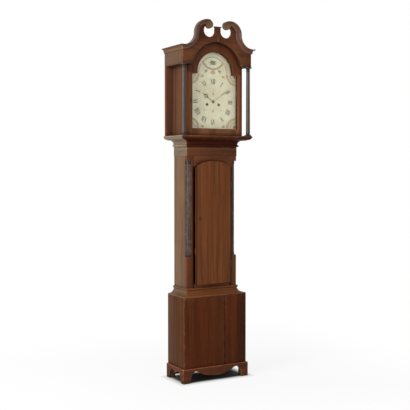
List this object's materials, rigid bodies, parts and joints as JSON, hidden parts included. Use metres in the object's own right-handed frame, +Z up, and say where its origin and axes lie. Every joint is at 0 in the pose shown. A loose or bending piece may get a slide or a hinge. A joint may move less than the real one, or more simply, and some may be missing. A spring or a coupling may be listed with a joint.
{
  "type": "longcase clock",
  "caption": "Tall wooden pendulum clock: arched painted dial behind a glazed hood door, swan-neck pediment, trunk door over weights and pendulum, bracket-footed base.",
  "frame": {"origin": "on the floor under the middle of the bounding box", "axes": "+Z up, +Y towards the wall behind the clock, +X to the right as seen from the front"},
  "size_m": [0.516, 0.2574, 2.178],
  "materials": {
    "case_wood": "aged polished mahogany and oak, vertical grain",
    "column_wood": "dark polished turned wood",
    "carcase_wood": "unpolished carcase wood",
    "brass": "aged brass",
    "steel": "plain steel",
    "iron": "cast iron",
    "gut_line": "gut line",
    "dial_paint": "cream painted iron with painted ornament",
    "glass": "thin old window glass"
  },
  "bodies": {
    "case": {"back_board": "carcase_wood", "base_front_panel": "case_wood", "base_sides": "case_wood", "base_floor": "carcase_wood", "plinth_front": "case_wood", "plinth_sides": "case_wood", "foot_blocks": "carcase_wood", "waist_moulding": "case_wood", "throat_moulding": "case_wood", "trunk_sides": "case_wood", "trunk_stiles": "case_wood", "trunk_rails": "case_wood", "trunk_frieze_board": "case_wood", "quarter_columns": "column_wood", "frame_hinge_leaves": "brass", "seat_board": "carcase_wood", "dial_plate": "dial_paint", "movement_plates": "brass", "movement_pillars": "brass", "back_cock": "brass", "bell": "brass", "going_line": "gut_line", "strike_line": "gut_line", "line_ends": "gut_line"},
    "trunk_door": {"trunk_door": "case_wood", "trunk_door_lock": "brass", "door_hinge_leaves": "brass"},
    "hood": {"hood_base_frame": "case_wood", "hood_sides": "case_wood", "hood_side_friezes": "case_wood", "hood_front_board": "case_wood", "hood_cornice": "case_wood", "swan_neck_left": "case_wood", "swan_neck_right": "case_wood", "rosettes": "case_wood", "pediment_blocks": "case_wood", "hood_roof": "carcase_wood", "dial_mask": "carcase_wood", "hood_columns": "column_wood"},
    "hood_door": {"hood_door_frame": "case_wood", "hood_door_glass": "glass", "hood_door_fittings": "brass"},
    "minute_hand": {"minute_hand": "brass"},
    "hour_hand": {"hour_hand": "brass"},
    "date_hand": {"date_hand": "brass"},
    "escape_wheel": {"escape_wheel": "brass", "seconds_hand": "steel"},
    "third_wheel": {"third_wheel": "brass"},
    "centre_wheel": {"centre_wheel": "brass"},
    "going_great_wheel": {"going_great_wheel": "brass"},
    "strike_great_wheel": {"strike_great_wheel": "brass"},
    "pin_wheel": {"pin_wheel": "brass"},
    "hammer": {"hammer": "steel"},
    "pendulum": {"pendulum_rod": "steel", "pendulum_bob": "brass"},
    "pallets": {"pallets": "steel"},
    "going_weight": {"going_weight": "iron"},
    "strike_weight": {"strike_weight": "iron"},
    "going_barrel": {"going_barrel": "brass"},
    "strike_barrel": {"strike_barrel": "brass"}
  },
  "joints": [
    {"name": "trunk_door_hinge", "type": "hinge", "parent": "case", "child": "trunk_door", "pos_m": [0.1325, -0.04455, 0.94], "axis": [0, 0, 1], "range_deg": [-6.3, 95]},
    {"name": "hood_slide", "type": "slide", "parent": "case", "child": "hood", "axis": [0, -1, 0], "range_m": [0, 0.3]},
    {"name": "hood_door_hinge", "type": "hinge", "parent": "hood", "child": "hood_door", "pos_m": [0.19, -0.104, 1.7], "axis": [0, 0, 1], "range_deg": [0, 105]},
    {"name": "minute_hand_turn", "type": "hinge", "parent": "case", "child": "minute_hand", "pos_m": [0, -0.0495, 1.695], "axis": [0, 1, 0], "continuous": true},
    {"name": "hour_hand_turn", "type": "hinge", "parent": "case", "child": "hour_hand", "pos_m": [0, -0.0495, 1.695], "axis": [0, 1, 0], "continuous": true},
    {"name": "date_hand_turn", "type": "hinge", "parent": "case", "child": "date_hand", "pos_m": [0, -0.0495, 1.639], "axis": [0, 1, 0], "continuous": true},
    {"name": "escape_wheel_turn", "type": "hinge", "parent": "case", "child": "escape_wheel", "pos_m": [0, 0, 1.742], "axis": [0, 1, 0], "continuous": true},
    {"name": "third_wheel_turn", "type": "hinge", "parent": "case", "child": "third_wheel", "pos_m": [0.01157, 0, 1.71961], "axis": [0, 1, 0], "continuous": true},
    {"name": "centre_wheel_turn", "type": "hinge", "parent": "case", "child": "centre_wheel", "pos_m": [0, 0, 1.695], "axis": [0, 1, 0], "continuous": true},
    {"name": "going_great_wheel_turn", "type": "hinge", "parent": "case", "child": "going_great_wheel", "pos_m": [0.041, 0, 1.678], "axis": [0, 1, 0], "continuous": true},
    {"name": "pin_wheel_turn", "type": "hinge", "parent": "case", "child": "pin_wheel", "pos_m": [-0.02757, 0, 1.7149], "axis": [0, 1, 0], "continuous": true},
    {"name": "strike_great_wheel_turn", "type": "hinge", "parent": "case", "child": "strike_great_wheel", "pos_m": [-0.041, 0, 1.678], "axis": [0, 1, 0], "continuous": true},
    {"name": "hammer_lift", "type": "hinge", "parent": "case", "child": "hammer", "pos_m": [-0.066, 0, 1.737], "axis": [0, 1, 0], "range_deg": [-5, 0]},
    {"name": "pendulum_swing", "type": "hinge", "parent": "case", "child": "pendulum", "pos_m": [0, 0.0785, 1.767], "axis": [0, 1, 0], "range_deg": [-2.5, 2.5]},
    {"name": "pallet_rock", "type": "hinge", "parent": "case", "child": "pallets", "pos_m": [0, 0, 1.767], "axis": [0, 1, 0], "range_deg": [-2.5, 2.5]},
    {"name": "going_weight_rise", "type": "slide", "parent": "case", "child": "going_weight", "axis": [0, 0, 1], "range_m": [0, 1.05], "deforming": ["going_line"]},
    {"name": "going_barrel_turn", "type": "hinge", "parent": "case", "child": "going_barrel", "pos_m": [0.041, 0, 1.678], "axis": [0, 1, 0], "range_deg": [0, 5256]},
    {"name": "strike_weight_rise", "type": "slide", "parent": "case", "child": "strike_weight", "axis": [0, 0, 1], "range_m": [0, 1.05], "deforming": ["strike_line"]},
    {"name": "strike_barrel_turn", "type": "hinge", "parent": "case", "child": "strike_barrel", "pos_m": [-0.041, 0, 1.678], "axis": [0, 1, 0], "range_deg": [0, 5256]}
  ],
  "couplings": [
    {"joint": "hour_hand_turn", "follows": "minute_hand_turn", "ratio": 0.083333},
    {"joint": "date_hand_turn", "follows": "minute_hand_turn", "ratio": 0.0013441},
    {"joint": "escape_wheel_turn", "follows": "third_wheel_turn", "ratio": -8},
    {"joint": "centre_wheel_turn", "follows": "third_wheel_turn", "ratio": -0.13333},
    {"joint": "going_great_wheel_turn", "follows": "third_wheel_turn", "ratio": 0.011111},
    {"joint": "strike_great_wheel_turn", "follows": "pin_wheel_turn", "ratio": -0.095238},
    {"joint": "pallet_rock", "follows": "pendulum_swing", "ratio": 1},
    {"joint": "going_barrel_turn", "follows": "going_weight_rise", "rad_per_m": 87.336},
    {"joint": "strike_barrel_turn", "follows": "strike_weight_rise", "rad_per_m": 87.336}
  ]
}
